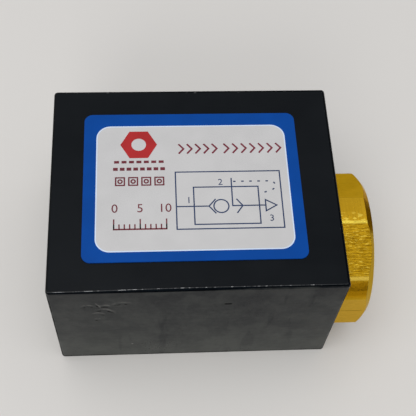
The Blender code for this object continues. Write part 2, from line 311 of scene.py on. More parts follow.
def make_turned_marks():
    """Fine rings that a lathe tool leaves round an axis along X, with the radius from that axis."""
    tree, given, made = new_group(
        "turned_marks", "ShaderNodeTree",
        [("Position", VECTOR, None), ("Axis", VECTOR, None), ("Ring Scale", FLOAT, 3500.0)],
        [("Rings", FLOAT, None), ("Radius", FLOAT, None), ("Around", VECTOR, None)])
    offset = vector_calc(tree, "SUBTRACT", given["Position"], given["Axis"])
    around = vector_calc(tree, "MULTIPLY", offset, (0.0, 1.0, 1.0))
    radius = vector_calc(tree, "LENGTH", around, result="Value")
    along = add_node(tree, "ShaderNodeSeparateXYZ", {0: offset}).outputs["X"]
    rings = add_node(tree, "ShaderNodeCombineXYZ", {"X": along, "Y": radius}).outputs[0]
    drift = vector_calc(tree, "SCALE", around, 0.012)
    place = vector_calc(tree, "ADD", rings, drift)
    tree.links.new(rescale(tree, noise(tree, place, given["Ring Scale"], detail=2.0), 0.3, 0.7), made["Rings"])
    tree.links.new(radius, made["Radius"])
    tree.links.new(around, made["Around"])
    return tree


def make_rub_mark():
    """One curved rub on the front of the block: a stretch of the upper half of a circle across X and Z."""
    tree, given, made = new_group(
        "rub_mark", "ShaderNodeTree",
        [("Position", VECTOR, None), ("Centre", VECTOR, None), ("Radius", FLOAT, 0.01), ("From", FLOAT, 0.0),
         ("To", FLOAT, 0.01), ("Width", FLOAT, 0.0002)],
        [("Rub", FLOAT, None)])
    offset = vector_calc(tree, "MULTIPLY", vector_calc(tree, "SUBTRACT", given["Position"], given["Centre"]),
                         (1.0, 0.0, 1.0))
    away = calc(tree, "ABSOLUTE", calc(tree, "SUBTRACT", vector_calc(tree, "LENGTH", offset, result="Value"),
                                       given["Radius"]))
    line = rescale(tree, away, given["Width"], 0.0)
    across = add_node(tree, "ShaderNodeSeparateXYZ", {0: given["Position"]}).outputs["X"]
    middle = calc(tree, "MULTIPLY", calc(tree, "ADD", given["From"], given["To"]), 0.5)
    half = calc(tree, "MULTIPLY", calc(tree, "SUBTRACT", given["To"], given["From"]), 0.5)
    share = calc(tree, "DIVIDE", calc(tree, "ABSOLUTE", calc(tree, "SUBTRACT", across, middle)), half)
    height = add_node(tree, "ShaderNodeSeparateXYZ", {0: offset}).outputs["Z"]
    upper = calc(tree, "MULTIPLY", rescale(tree, share, 1.0, 0.4), calc(tree, "GREATER_THAN", height, 0.0))
    tree.links.new(calc(tree, "MULTIPLY", line, upper), made["Rub"])
    return tree


SURFACE_GRAIN = make_surface_grain()
DUST_SPECKS = make_dust_specks()
DRAWN_LINES = make_drawn_lines()
EDGE_WEAR = make_edge_wear()
TURNED_MARKS = make_turned_marks()
RUB_MARK = make_rub_mark()


# Finishes

def start_finish(name, **constants):
    """A material with a Principled BSDF. The constants are set on the shader's own sockets."""
    material = bpy.data.materials.new(name)
    material.use_nodes = True
    tree = material.node_tree
    shader = tree.nodes["Principled BSDF"]
    for key, value in constants.items():
        shader.inputs[key.replace("_", " ")].default_value = value
    position = add_node(tree, "ShaderNodeTexCoord").outputs["Object"]
    return material, tree, shader, position


def join(tree, shader, **sources):
    """Links outputs to the shader's sockets, whose names have spaces for underscores."""
    for key, source in sources.items():
        tree.links.new(source, shader.inputs[key.replace("_", " ")])


def bump(tree, height, distance, strength=1.0, under=None):
    """The normal of a surface raised by height times distance."""
    values = {"Height": height, "Distance": distance, "Strength": strength}
    if under is not None:
        values["Normal"] = under
    return add_node(tree, "ShaderNodeBump", values).outputs["Normal"]


def spread(tree, position, x, y, z):
    """The position with each axis scaled, which draws a pattern out along the axis with the least scale."""
    return vector_calc(tree, "MULTIPLY", position, (x, y, z))


# Curved rubs on the front face, in millimetres: centre (x, z), radius, from x, to x, width.
# Under each lies a painted shade line, RUB_SHADE_DROP lower. The next constant is a dark dash, given in the
# same way.
RUBS = (
    ((-25.8, 26.01), 6.37, -20.8, -19.5, 0.30),
    ((-18.8, 27.30), 1.60, -20.3, -17.4, 0.42),
    ((-19.6, 24.07), 2.90, -21.4, -16.5, 0.42),
    ((-20.4, 23.08), 2.00, -22.0, -18.7, 0.38),
    ((-20.7, 20.71), 1.40, -21.4, -19.9, 0.34),
    ((-14.9, 26.50), 3.60, -18.0, -13.2, 0.42),
    ((-22.2, 26.60), 2.40, -24.2, -20.6, 0.36),
)
DARK_DASH = ((6.1, -2.95), 31.0, 4.9, 7.2, 0.62)
RUB_SHADE_DROP = 1.0


def make_rubs(tree, position, marks, drop=0.0):
    """The mask of one or more curved marks on the front face, each drawn lower by drop millimetres."""
    place = add_node(tree, "ShaderNodeSeparateXYZ", {0: position}).outputs
    front = calc(tree, "MULTIPLY", calc(tree, "LESS_THAN", place["Y"], BLOCK_LOW.y + 0.05 * MM),
                 calc(tree, "GREATER_THAN", place["Z"], BLOCK_CENTRE.z))
    strongest = 0.0
    for (x, z), radius, start, end, width in marks:
        rub = use_group(tree, RUB_MARK, {
            "Position": position, "Centre": (x * MM, 0.0, (z - drop) * MM), "Radius": radius * MM,
            "From": start * MM, "To": end * MM, "Width": width * MM})["Rub"]
        strongest = calc(tree, "MAXIMUM", strongest, rub)
    return calc(tree, "MULTIPLY", strongest, front)


def make_front_marks(tree, position):
    """The pale rubs on the front face, and its dark marks: the dash, and the painted shade line under each
    rub.
    """
    broken = rescale(tree, noise(tree, position, 900.0), 0.30, 0.60)
    rubs = calc(tree, "MULTIPLY", make_rubs(tree, position, RUBS), broken)
    rub_shade = calc(tree, "MULTIPLY", make_rubs(tree, position, RUBS, RUB_SHADE_DROP), broken)
    dash_and_rub_shade = calc(tree, "MAXIMUM", make_rubs(tree, position, (DARK_DASH,)), calc(tree, "MULTIPLY", rub_shade, 0.9))
    return rubs, dash_and_rub_shade


def make_painted_floor_sheen(tree, position, place, grain, smudge):
    """Painted reflection of the pale floor, in grey, on the block's sides: paler low down, and mottled, most
    of all on the front face.
    """
    wiped = noise(tree, spread(tree, position, 320.0, 320.0, 60.0), 1.0, detail=3.0)
    patterns = ((smudge["Cloud"], 0.26), (smudge["Grain"], 0.17), (grain["Cloud"], 0.14),
                (rescale(tree, wiped, 0.40, 0.32), -0.22))
    mottle = -0.245
    for pattern, share in patterns:
        mottle = calc(tree, "MULTIPLY_ADD", pattern, share, mottle)
    handled = rescale(tree, place["Y"], BLOCK_LOW.y, BLOCK_LOW.y + 2.0 * MM, 1.0, 0.40)
    painted_sheen = calc(tree, "MULTIPLY_ADD", mottle, handled, 0.115)
    painted_sheen = calc(tree, "MULTIPLY_ADD", rescale(tree, place["Z"], 36.0 * MM, 16.0 * MM), 0.18, painted_sheen)
    return calc(tree, "MULTIPLY_ADD", rescale(tree, place["Z"], 19.0 * MM, -2.0 * MM), 0.60, painted_sheen)


def make_black_anodised():
    """Black anodised aluminium: satin, faintly clouded, with bare metal showing in the nicks."""
    material, tree, shader, position = start_finish("black_anodised_aluminium", Specular_IOR_Level=0.12)
    grain = use_group(tree, SURFACE_GRAIN, {"Position": position, "Grain Scale": 2600.0, "Cloud Scale": 70.0})
    smudge = use_group(tree, SURFACE_GRAIN, {"Position": position, "Grain Scale": 900.0, "Cloud Scale": 230.0})
    place = add_node(tree, "ShaderNodeSeparateXYZ", {0: position}).outputs
    under_top = calc(tree, "SUBTRACT", BLOCK_HIGH.z, place["Z"])
    under_edge = calc(tree, "MULTIPLY_ADD", place["X"], EDGE_SLANT, under_top)
    sides = calc(tree, "MULTIPLY", rescale(tree, under_edge, 0.25 * MM, 0.43 * MM),
                 rescale(tree, under_top, 0.02 * MM, 0.12 * MM))
    wear = use_group(tree, EDGE_WEAR, {
        "Position": position, "Box Centre": BLOCK_CENTRE, "Box Half Size": BLOCK_HALF,
        "Nick Line": rescale(tree, place["X"], -32.0 * MM, 2.0 * MM, 0.30 * MM, 0.62 * MM),
        "Edge": calc(tree, "SUBTRACT", 1.0, sides)})
    drawn = use_group(tree, DRAWN_LINES, {
        "Stretched": spread(tree, position, 90.0, 2400.0, 2400.0), "Fineness": 0.05, "Share": 0.45})
    sawn = use_group(tree, DRAWN_LINES, {
        "Stretched": spread(tree, position, 1700.0, 1700.0, 45.0), "Fineness": 0.06, "Share": 0.6})
    specks = use_group(tree, DUST_SPECKS, {"Position": position, "Scale": 210.0, "Size": 0.05, "Share": 0.14})
    from_end = calc(tree, "SUBTRACT", BLOCK_HALF.x, calc(tree, "ABSOLUTE", place["X"]))
    on_end = calc(tree, "LESS_THAN", from_end, 0.05 * MM)
    lines = add_node(tree, "ShaderNodeMix", {0: on_end, 2: drawn["Lines"], 3: sawn["Lines"]}).outputs[0]
    bands = add_node(tree, "ShaderNodeMix", {0: on_end, 2: drawn["Bands"], 3: sawn["Bands"]}).outputs[0]
    # The second mark is a dark dash, with a painted shade line under each rub.
    rubs, dash_and_rub_shade = make_front_marks(tree, position)
    painted_sheen = make_painted_floor_sheen(tree, position, place, grain, smudge)
    colour = tint(tree, grain["Cloud"], (0.0008, 0.0022, 0.0040, 1.0), (0.0022, 0.0038, 0.0058, 1.0))
    # The grey on the sides below the top edge is a painted reflection of the pale floor.
    painted_sheen = calc(tree, "MULTIPLY", sides, calc(tree, "MULTIPLY_ADD", lines, 0.05, painted_sheen), clamp=True)
    by_the_top = calc(tree, "MULTIPLY", sides, rescale(tree, under_top, 1.2 * MM, 0.8 * MM))
    # Painted shade: darker along the block's foot by the floor and along its edges away from the top edge,
    # gathered in rim.
    foot_shade = calc(tree, "MULTIPLY", rescale(tree, place["Z"], 1.25 * MM, 0.70 * MM), 0.8)
    edge_shade = calc(tree, "MULTIPLY", wear["Rim"], calc(tree, "SUBTRACT", 1.0, by_the_top))
    rim = calc(tree, "MAXIMUM", foot_shade, edge_shade)
    rim = calc(tree, "MULTIPLY", rim, rescale(tree, smudge["Cloud"], 0.0, 1.0, 1.0, 0.5))
    # The nicks hold bare metal, and along the front top edge a faint painted highlight line.
    nicks = calc(tree, "MULTIPLY", wear["Nicks"], rescale(tree, place["X"], -31.0 * MM, -2.0 * MM, 0.32, 1.0))
    nicks = calc(tree, "MULTIPLY", nicks, rescale(tree, place["X"], 20.0 * MM, 26.0 * MM, 1.0, 0.6))
    colour = coat(tree, colour, (
        (painted_sheen, 1.0, (0.0560, 0.0598, 0.0548)),
        (rim, 0.6, (0.0006, 0.0007, 0.0008)),
        (dash_and_rub_shade, 1.0, (0.0, 0.0, 0.0)),
        (rubs, 1.0, (0.095, 0.095, 0.09)),
        (specks["Specks"], 1.0, (0.16, 0.16, 0.15)),
        (nicks, 1.0, (0.50, 0.51, 0.515))))
    rough = calc(tree, "MULTIPLY_ADD", grain["Cloud"], 0.06, 0.26)
    rough = calc(tree, "MULTIPLY_ADD", grain["Grain"], 0.06, rough)
    rough = calc(tree, "MULTIPLY_ADD", lines, 0.08, rough)
    dull = calc(tree, "MAXIMUM", dash_and_rub_shade, calc(tree, "MULTIPLY", rim, sides))
    rough = calc(tree, "MAXIMUM", rough, dull)
    height = calc(tree, "MULTIPLY_ADD", bands, 0.35, grain["Grain"])
    height = calc(tree, "MULTIPLY_ADD", nicks, -6.0, height)
    # Metallic in the nicks for bare metal, and under the top edges for the painted dark shade line.
    bare = calc(tree, "MAXIMUM", calc(tree, "MULTIPLY", nicks, 0.4),
                calc(tree, "MULTIPLY", wear["Dark Edge Line"], 0.9))
    join(tree, shader, Base_Color=colour, Roughness=rough, Metallic=bare,
         Normal=bump(tree, height, 0.0016 * MM))
    return material


def near_turn(tree, around, turn, start, end):
    """1 on the cap's outside within start degrees of a turn about the valve axis, 0 beyond end degrees."""
    facing = (0.0, math.cos(math.radians(turn)), math.sin(math.radians(turn)))
    towards = vector_calc(tree, "DOT_PRODUCT", vector_calc(tree, "NORMALIZE", around), facing, result="Value")
    return rescale(tree, towards, math.cos(math.radians(end)), math.cos(math.radians(start)))


def hexagon_reach(tree, around):
    """How far out a place lies towards the nearest flat of the hexagon."""
    reach = 0.0
    for turn in HEX_FLAT_TURNS:
        facing = (0.0, math.cos(math.radians(turn)), math.sin(math.radians(turn)))
        towards = vector_calc(tree, "DOT_PRODUCT", around, facing, result="Value")
        reach = calc(tree, "MAXIMUM", reach, calc(tree, "ABSOLUTE", towards))
    return reach


def drawn_noise(tree, position, along, across, low, high, detail=2.0, roughness=0.5):
    """Noise with its own scales along the valve axis and across it, from 0 at low to 1 at high."""
    place = spread(tree, position, along, across, across)
    return rescale(tree, noise(tree, place, 1.0, detail, roughness), low, high)


def make_gold_anodised():
    """Gold anodised aluminium: streaks on the flats, rings on the turned parts, a painted highlight where they
    meet, painted glints and painted dark reflections.
    """
    material, tree, shader, position = start_finish(
        "gold_anodised_aluminium", Metallic=1.0, Specular_Tint=(1.0, 0.84, 0.45, 1.0))
    turned = use_group(tree, TURNED_MARKS, {"Position": position, "Axis": VALVE_AXIS, "Ring Scale": 2600.0})
    grain = use_group(tree, SURFACE_GRAIN, {"Position": position, "Grain Scale": 2400.0, "Cloud Scale": 150.0})
    around = turned["Around"]
    place = add_node(tree, "ShaderNodeSeparateXYZ", {0: position}).outputs
    from_face = calc(tree, "SUBTRACT", CAP_HIGH.x - HEAD_TRIM, place["X"])
    below_flat = calc(tree, "SUBTRACT", HEX_ACROSS_FLATS / 2, hexagon_reach(tree, around))
    below_round = calc(tree, "SUBTRACT", CAP_TURNED_RADIUS, turned["Radius"])
    on_flat = rescale(tree, below_flat, 0.06 * MM, 0.01 * MM)
    coarse = rescale(tree, near_turn(tree, around, COARSE_TURN, 19.0, 22.0), 0.0, 1.0, 0.25, 1.0)
    coarse = calc(tree, "MULTIPLY", on_flat, coarse)
    streaks = drawn_noise(tree, position, 480.0, 5200.0, 0.34, 0.66, detail=3.0, roughness=0.65)
    # Painted glints: short bright sparks on the facing flat.
    painted_sparkle = drawn_noise(tree, position, 950.0, 5200.0, 0.56, 0.70, roughness=0.6)
    patches = drawn_noise(tree, position, 260.0, 420.0, 0.35, 0.65, detail=1.0)
    painted_sparkle = calc(tree, "MULTIPLY", painted_sparkle, calc(tree, "MULTIPLY_ADD", patches, 0.7, 0.3))
    # Painted glints: bright flecks on the round, in a narrow band beside the highlight edge.
    painted_glints = drawn_noise(tree, position, 900.0, 1900.0, 0.54, 0.62)
    on_round = calc(tree, "MULTIPLY", rescale(tree, below_round, 0.08 * MM, 0.03 * MM),
                    calc(tree, "SUBTRACT", 1.0, on_flat))
    painted_glints = calc(tree, "MULTIPLY", painted_glints, near_turn(tree, around, GLINT_TURN, 1.5, 6.0))
    painted_glints = calc(tree, "MULTIPLY", painted_glints, on_round)
    from_edge = calc(tree, "MAXIMUM", calc(tree, "ABSOLUTE", below_flat), calc(tree, "ABSOLUTE", below_round))
    # Painted highlight: a bright line where the flats meet the round, strongest at one edge.
    edge_highlight = calc(tree, "MULTIPLY", rescale(tree, from_edge, 0.15 * MM, 0.06 * MM),
                calc(tree, "MULTIPLY_ADD", near_turn(tree, around, EDGE_HIGHLIGHT_TURN, 3.0, 5.0), 0.95, 0.05))
    edge_highlight = calc(tree, "MULTIPLY", edge_highlight, rescale(tree, streaks, 0.0, 0.5, 0.75, 1.0))
    # Painted highlight: a narrow bright band on the round just below the facing flat, held in worn.
    worn = calc(tree, "MULTIPLY", near_turn(tree, around, BAND_HIGHLIGHT_TURN, 0.9, 1.9),
                rescale(tree, below_round, 0.20 * MM, 0.10 * MM))
    cone = calc(tree, "MULTIPLY_ADD", from_face, CAP_CHAMFER_SLOPE, CAP_CHAMFER_INNER_RADIUS)
    off_cone = calc(tree, "ABSOLUTE", calc(tree, "SUBTRACT", turned["Radius"], cone))
    on_chamfer = calc(tree, "MULTIPLY", rescale(tree, off_cone, 0.09 * MM, 0.05 * MM),
                      rescale(tree, from_face, 0.03 * MM, 0.08 * MM))
    # A thin dark line along the axis on the low flat.
    dark_axial_line = calc(tree, "MULTIPLY", near_turn(tree, around, DARK_LINE_TURN, 0.12, 0.42),
                   rescale(tree, from_face, 1.0 * MM, 1.6 * MM))
    flat_height = calc(tree, "MULTIPLY", coarse, streaks)
    round_height = calc(tree, "MULTIPLY", turned["Rings"], 0.9)
    height = add_node(tree, "ShaderNodeMix", {0: on_flat, 2: round_height, 3: flat_height}).outputs[0]
    height = calc(tree, "MULTIPLY_ADD", grain["Grain"], 0.25, height)
    # Painted reflection of the pale floor: the low flat is paler.
    paler = calc(tree, "MULTIPLY", near_turn(tree, around, LOW_FLAT_SHEEN_TURN, 19.0, 21.0), on_flat)
    grooves = calc(tree, "MULTIPLY", coarse, calc(tree, "SUBTRACT", 1.0, streaks))
    rings = calc(tree, "MULTIPLY", calc(tree, "SUBTRACT", 1.0, on_flat), turned["Rings"])
    # Painted dark reflection: a darker band on the round below the facing flat.
    dark_reflection = calc(tree, "MULTIPLY", near_turn(tree, around, DARK_REFLECTION_TURN, 4.0, 9.0), on_round)
    shaded = calc(tree, "MULTIPLY", on_chamfer, near_turn(tree, around, SHADED_TURN, 17.0, 23.0))
    colour = tint(tree, grain["Cloud"], (0.61, 0.362, 0.017, 1.0), (0.69, 0.415, 0.022, 1.0))
    colour = coat(tree, colour, (
        (paler, 0.7, (0.76, 0.49, 0.095)),
        (coarse, 0.4, (0.48, 0.283, 0.006)),
        (grooves, 0.95, (0.33, 0.172, 0.003)),
        (coarse, painted_sparkle, (0.90, 0.66, 0.09)),
        (rings, 0.28, (0.46, 0.250, 0.006)),
        (dark_reflection, 0.7, (0.58, 0.275, 0.002)),
        (on_chamfer, 0.6, (0.46, 0.31, 0.055)),
        (shaded, 0.9, (0.44, 0.185, 0.0)),
        (dark_axial_line, 0.8, (0.16, 0.085, 0.004)),
        (painted_glints, 0.7, (0.98, 0.74, 0.10)),
        (worn, 1.0, (0.92, 0.64, 0.09)),
        (edge_highlight, 1.0, (0.86, 0.66, 0.085))))
    rough = calc(tree, "MULTIPLY_ADD", grain["Grain"], 0.12, 0.26)
    rough = calc(tree, "MULTIPLY_ADD", calc(tree, "MULTIPLY", coarse, streaks), 0.12, rough)
    rough = calc(tree, "MULTIPLY_ADD", on_chamfer, -0.14, rough)
    join(tree, shader, Base_Color=colour, Roughness=rough, Normal=bump(tree, height, 0.004 * MM))
    return material


def make_rubber(name, colour, worn):
    """Moulded rubber: matt, with a soft bloom and fine dust."""
    material, tree, shader, position = start_finish(name, Specular_IOR_Level=0.35)
    grain = use_group(tree, SURFACE_GRAIN, {"Position": position, "Grain Scale": 3200.0, "Cloud Scale": 260.0})
    specks = use_group(tree, DUST_SPECKS, {"Position": position, "Scale": 1400.0, "Size": 0.16, "Share": 0.2})
    shade = tint(tree, grain["Cloud"], (*colour, 1.0), (*worn, 1.0))
    shade = tint(tree, calc(tree, "MULTIPLY", specks["Specks"], 0.5), shade, (0.12, 0.12, 0.115, 1.0))
    rough = calc(tree, "MULTIPLY_ADD", grain["Cloud"], 0.16, 0.55)
    join(tree, shader, Base_Color=shade, Roughness=rough, Normal=bump(tree, grain["Grain"], 0.005 * MM))
    return material


def make_print(name, colour, shift=0.06):
    """A printed field of the foil label. shift is how much its colour changes over the surface."""
    material, tree, shader, position = start_finish(name, Specular_IOR_Level=0.08)
    grain = use_group(tree, SURFACE_GRAIN, {"Position": position, "Grain Scale": 2400.0, "Cloud Scale": 160.0})
    specks = use_group(tree, DUST_SPECKS, {"Position": position, "Scale": 320.0, "Size": 0.05, "Share": 0.10})
    darker = tuple(c * (1.0 - shift) for c in colour)
    paler = tuple(min(c * (1.0 + shift), 1.0) for c in colour)
    shade = tint(tree, grain["Cloud"], (*darker, 1.0), (*paler, 1.0))
    shade = tint(tree, calc(tree, "MULTIPLY", grain["Grain"], shift), shade, (*darker, 1.0))
    shade = tint(tree, calc(tree, "MULTIPLY", specks["Specks"], 0.4), shade, (0.5, 0.5, 0.48, 1.0))
    rough = calc(tree, "MULTIPLY_ADD", grain["Grain"], 0.08, 0.40)
    join(tree, shader, Base_Color=shade, Roughness=rough, Normal=bump(tree, grain["Grain"], 0.0012 * MM))
    return material


# Meshes

def as_piece(mesh, name, body, material=None, stands_for=()):
    """A finished piece at the origin, riding on a CAD body."""
    piece = bpy.data.objects.new(name, mesh)
    bpy.context.scene.collection.objects.link(piece)
    if material is not None:
        mesh.materials.clear()
        mesh.materials.append(material)
    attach(piece, body)
    if stands_for:
        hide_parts(*stands_for)
    return piece


def evaluated_mesh(shape, name):
    """The mesh that an object with its modifiers makes. The object itself is removed."""
    bpy.context.view_layer.update()
    graph = bpy.context.evaluated_depsgraph_get()
    mesh = bpy.data.meshes.new_from_object(shape.evaluated_get(graph))
    mesh.name = name
    shape.modifiers.clear()
    bpy.data.objects.remove(shape)
    return mesh


def round_upright_edges(grid):
    """Gives the block's four upright edges a larger radius. Its other edges run into them."""
    for axis in (0, 1):
        for side in (-1.0, 1.0):
            facing = Vector((0.0, 0.0, 0.0))
            facing[axis] = side
            for share in (0.7, 1.0):
                cut = BLOCK_CENTRE + facing * (BLOCK_HALF[axis] - share * UPRIGHT_EDGE_RADIUS)
                bmesh.ops.bisect_plane(grid, geom=[*grid.verts, *grid.edges, *grid.faces],
                                       dist=MERGE_DISTANCE, plane_co=cut, plane_no=facing)
    for vert in grid.verts:
        offset = vert.co - BLOCK_CENTRE
        depth = [BLOCK_HALF[axis] - abs(offset[axis]) for axis in range(3)]
        if max(depth[:2]) > UPRIGHT_EDGE_RADIUS:
            continue
        below = max(EDGE_RADIUS - depth[2], 0.0)
        inset = EDGE_RADIUS - math.sqrt(max(EDGE_RADIUS ** 2 - below ** 2, 0.0))
        out = Vector([UPRIGHT_EDGE_RADIUS - d for d in depth[:2]])
        if out.length > UPRIGHT_EDGE_RADIUS - inset:
            out *= (UPRIGHT_EDGE_RADIUS - inset) / out.length
            for axis in (0, 1):
                reach = BLOCK_HALF[axis] - UPRIGHT_EDGE_RADIUS + out[axis]
                vert.co[axis] = BLOCK_CENTRE[axis] + math.copysign(reach, offset[axis])


def joined_copy(node, name, sharp_angle, reshape=None):
    """A CAD node's mesh with its triangles joined and smoothed up to sharp_angle, large faces kept flat."""
    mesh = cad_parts[node].data.copy()
    grid = bmesh.new()
    grid.from_mesh(mesh)
    bmesh.ops.remove_doubles(grid, verts=grid.verts, dist=MERGE_DISTANCE)
    if reshape:
        reshape(grid)
    grid.to_mesh(mesh)
    grid.free()
    mesh.shade_smooth()
    mesh.set_sharp_from_angle(angle=math.radians(sharp_angle))
    shape = bpy.data.objects.new(name, mesh)
    bpy.context.scene.collection.objects.link(shape)
    weighted = shape.modifiers.new("large_faces_flat", "WEIGHTED_NORMAL")
    weighted.keep_sharp = True
    return evaluated_mesh(shape, name)


def seat_head(mesh):
    """Draws the back of the cap's head down to the block, so that no dark slit shows behind it."""
    for vert in mesh.vertices:
        around = Vector((0.0, vert.co.y - VALVE_AXIS.y, vert.co.z - VALVE_AXIS.z)).length
        behind = vert.co.x - CAP_HEAD_BACK
        if abs(behind) < CAP_UNDER_CHAMFER + 0.02 * MM and around > CAP_SHANK_RADIUS + 1.0 * MM:
            vert.co.x = BLOCK_HIGH.x + HEAD_GAP + max(behind, 0.0) * HEAD_SQUEEZE
        elif behind > CAP_UNDER_CHAMFER:
            vert.co.x -= HEAD_TRIM
    mesh.update()
    return mesh


def face_outwards(mesh):
    """Turns the faces of a closed mesh outwards."""
    grid = bmesh.new()
    grid.from_mesh(mesh)
    bmesh.ops.remove_doubles(grid, verts=grid.verts, dist=MERGE_DISTANCE)
    bmesh.ops.recalc_face_normals(grid, faces=grid.faces)
    grid.to_mesh(mesh)
    grid.free()


# Threads

def make_thread_tree():
    """A tooth swept along a helix round Z, from 0 up. Facing is 1 for an outer thread, -1 for an inner."""
    tree, given, made = new_group(
        "thread", "GeometryNodeTree",
        [("Pitch", FLOAT, 0.001), ("Length", FLOAT, 0.01), ("Root Radius", FLOAT, 0.008),
         ("Height", FLOAT, 0.0008), ("Facing", FLOAT, -1.0), ("Steps A Turn", "NodeSocketInt", 48),
         ("Finish", "NodeSocketMaterial", None)],
        [("Geometry", "NodeSocketGeometry", None)])
    turns = calc(tree, "DIVIDE", given["Length"], given["Pitch"])
    helix = add_node(tree, "GeometryNodeCurveSpiral", {
        "Resolution": given["Steps A Turn"], "Rotations": turns, "Start Radius": given["Root Radius"],
        "End Radius": given["Root Radius"], "Height": given["Length"]})
    upright = add_node(tree, "GeometryNodeSetCurveNormal", {"Curve": helix.outputs["Curve"]}, mode="Z_UP")
    tooth = add_node(tree, "GeometryNodeCurvePrimitiveQuadrilateral", {
        "Height": given["Height"], "Bottom Width": calc(tree, "MULTIPLY", given["Pitch"], 0.98),
        "Top Width": calc(tree, "MULTIPLY", given["Pitch"], 0.16), "Offset": 0.0}, mode="TRAPEZOID")
    lift = add_node(tree, "ShaderNodeCombineXYZ", {"Y": calc(tree, "MULTIPLY", given["Height"], 0.5)})
    rooted = add_node(tree, "GeometryNodeTransform", {
        "Geometry": tooth.outputs["Curve"], "Translation": lift.outputs[0]})
    turn = calc(tree, "MULTIPLY", given["Facing"], math.radians(90.0))
    laid = add_node(tree, "GeometryNodeTransform", {
        "Geometry": rooted.outputs["Geometry"],
        "Rotation": add_node(tree, "ShaderNodeCombineXYZ", {"Z": turn}).outputs[0]})
    share = add_node(tree, "GeometryNodeSplineParameter").outputs["Factor"]
    turn_share = calc(tree, "DIVIDE", 1.0, turns)
    rising = rescale(tree, calc(tree, "DIVIDE", share, turn_share), 0.0, 0.8, 0.02, 1.0)
    falling = rescale(tree, calc(tree, "DIVIDE", calc(tree, "SUBTRACT", 1.0, share), turn_share),
                      0.0, 0.8, 0.02, 1.0)
    swept = add_node(tree, "GeometryNodeCurveToMesh", {
        "Curve": upright.outputs["Curve"], "Profile Curve": laid.outputs["Geometry"],
        "Scale": calc(tree, "MINIMUM", rising, falling), "Fill Caps": True})
    real = add_node(tree, "GeometryNodeRealizeInstances", {"Geometry": swept.outputs["Mesh"]})
    coated = add_node(tree, "GeometryNodeSetMaterial", {
        "Geometry": real.outputs["Geometry"], "Material": given["Finish"]})
    tree.links.new(coated.outputs["Geometry"], made["Geometry"])
    return tree


def run_tree(tree, name, values, base=None):
    """The mesh that a Geometry Nodes tree makes with these named inputs."""
    shape = bpy.data.objects.new(name, base or bpy.data.meshes.new(name))
    bpy.context.scene.collection.objects.link(shape)
    modifier = shape.modifiers.new(name, "NODES")
    modifier.node_group = tree
    for item in tree.interface.items_tree:
        if item.in_out == "INPUT" and item.name in values:
            modifier[item.identifier] = values[item.name]
    return evaluated_mesh(shape, name)


def make_thread(tree, name, place, turn, finish, slot, pitch, length, root_radius, height, facing):
    """A thread along the direction that turn gives to +Z, starting at place."""
    mesh = run_tree(tree, name, {
        "Pitch": pitch, "Length": length, "Root Radius": root_radius, "Height": height, "Facing": facing,
        "Steps A Turn": THREAD_STEPS_A_TURN, "Finish": finish})
    mesh.transform(Matrix.Translation(place) @ turn.to_matrix().to_4x4())
    face_outwards(mesh)
    mesh.shade_smooth()
    mesh.set_sharp_from_angle(angle=math.radians(30.0))
    return as_piece(mesh, name, BODY_HOUSING)


def make_threads(black, gold):
    """Threads of the inlet, outlet and exhaust ports, and the cap's thread in the block."""
    tree = make_thread_tree()
    port = {"pitch": PORT_PITCH, "length": PORT_THREAD_LENGTH, "root_radius": PORT_ROOT_RADIUS + TOOTH_SINK,
            "height": PORT_TOOTH_HEIGHT + TOOTH_SINK, "facing": -1.0}
    into_left = Euler((0.0, math.radians(90.0), 0.0))
    into_right = Euler((0.0, math.radians(-90.0), 0.0))
    into_back = Euler((math.radians(90.0), 0.0, 0.0))
    make_thread(tree, "inlet_thread", Vector((BLOCK_LOW.x + PORT_MOUTH_DEPTH, VALVE_AXIS.y, VALVE_AXIS.z)),
                into_left, black, "black_anodised_aluminium", **port)
    make_thread(tree, "outlet_thread", Vector((OUTLET_X, BLOCK_HIGH.y - PORT_MOUTH_DEPTH, VALVE_AXIS.z)),
                into_back, black, "black_anodised_aluminium", **port)
    make_thread(tree, "exhaust_thread", Vector((CAP_HIGH.x - PORT_MOUTH_DEPTH, VALVE_AXIS.y, VALVE_AXIS.z)),
                into_right, gold, "gold_anodised_aluminium", **port)
    make_thread(tree, "cap_thread", Vector((CAP_THREAD_START, VALVE_AXIS.y, VALVE_AXIS.z)),
                into_left, gold, "gold_anodised_aluminium", pitch=CAP_THREAD_PITCH,
                length=CAP_THREAD_LENGTH, root_radius=CAP_SHANK_RADIUS - TOOTH_SINK,
                height=CAP_TOOTH_HEIGHT + TOOTH_SINK, facing=1.0)


# Label and its print

def rounded_outline(centre, size, corner, steps=10):
    """Points of a rectangle with round corners, anticlockwise."""
    points = []
    for quarter, (side_x, side_y) in enumerate(((1, 1), (-1, 1), (-1, -1), (1, -1))):
        middle = Vector((side_x * (size.x / 2 - corner), side_y * (size.y / 2 - corner)))
        for step in range(steps + 1):
            angle = math.radians(90.0 * (quarter + step / steps))
            points.append(centre + middle + corner * Vector((math.cos(angle), math.sin(angle))))
    return points


def plate_mesh(name, outline, low, high, hole=None):
    """A flat plate between two heights, with an optional hole."""
    grid = bmesh.new()
    top = [grid.verts.new((p.x, p.y, high)) for p in outline]
    if hole is None:
        grid.faces.new(top)
    else:
        inner = [grid.verts.new((p.x, p.y, high)) for p in hole]
        loops = [grid.edges.new((ring[i - 1], ring[i])) for ring in (top, inner) for i in range(len(ring))]
        bmesh.ops.triangle_fill(grid, edges=loops, use_beauty=True)
    lower = bmesh.ops.extrude_face_region(grid, geom=list(grid.faces))["geom"]
    for vert in (item for item in lower if isinstance(item, bmesh.types.BMVert)):
        vert.co.z = low
    bmesh.ops.recalc_face_normals(grid, faces=grid.faces)
    mesh = bpy.data.meshes.new(name)
    grid.to_mesh(mesh)
    grid.free()
    return mesh


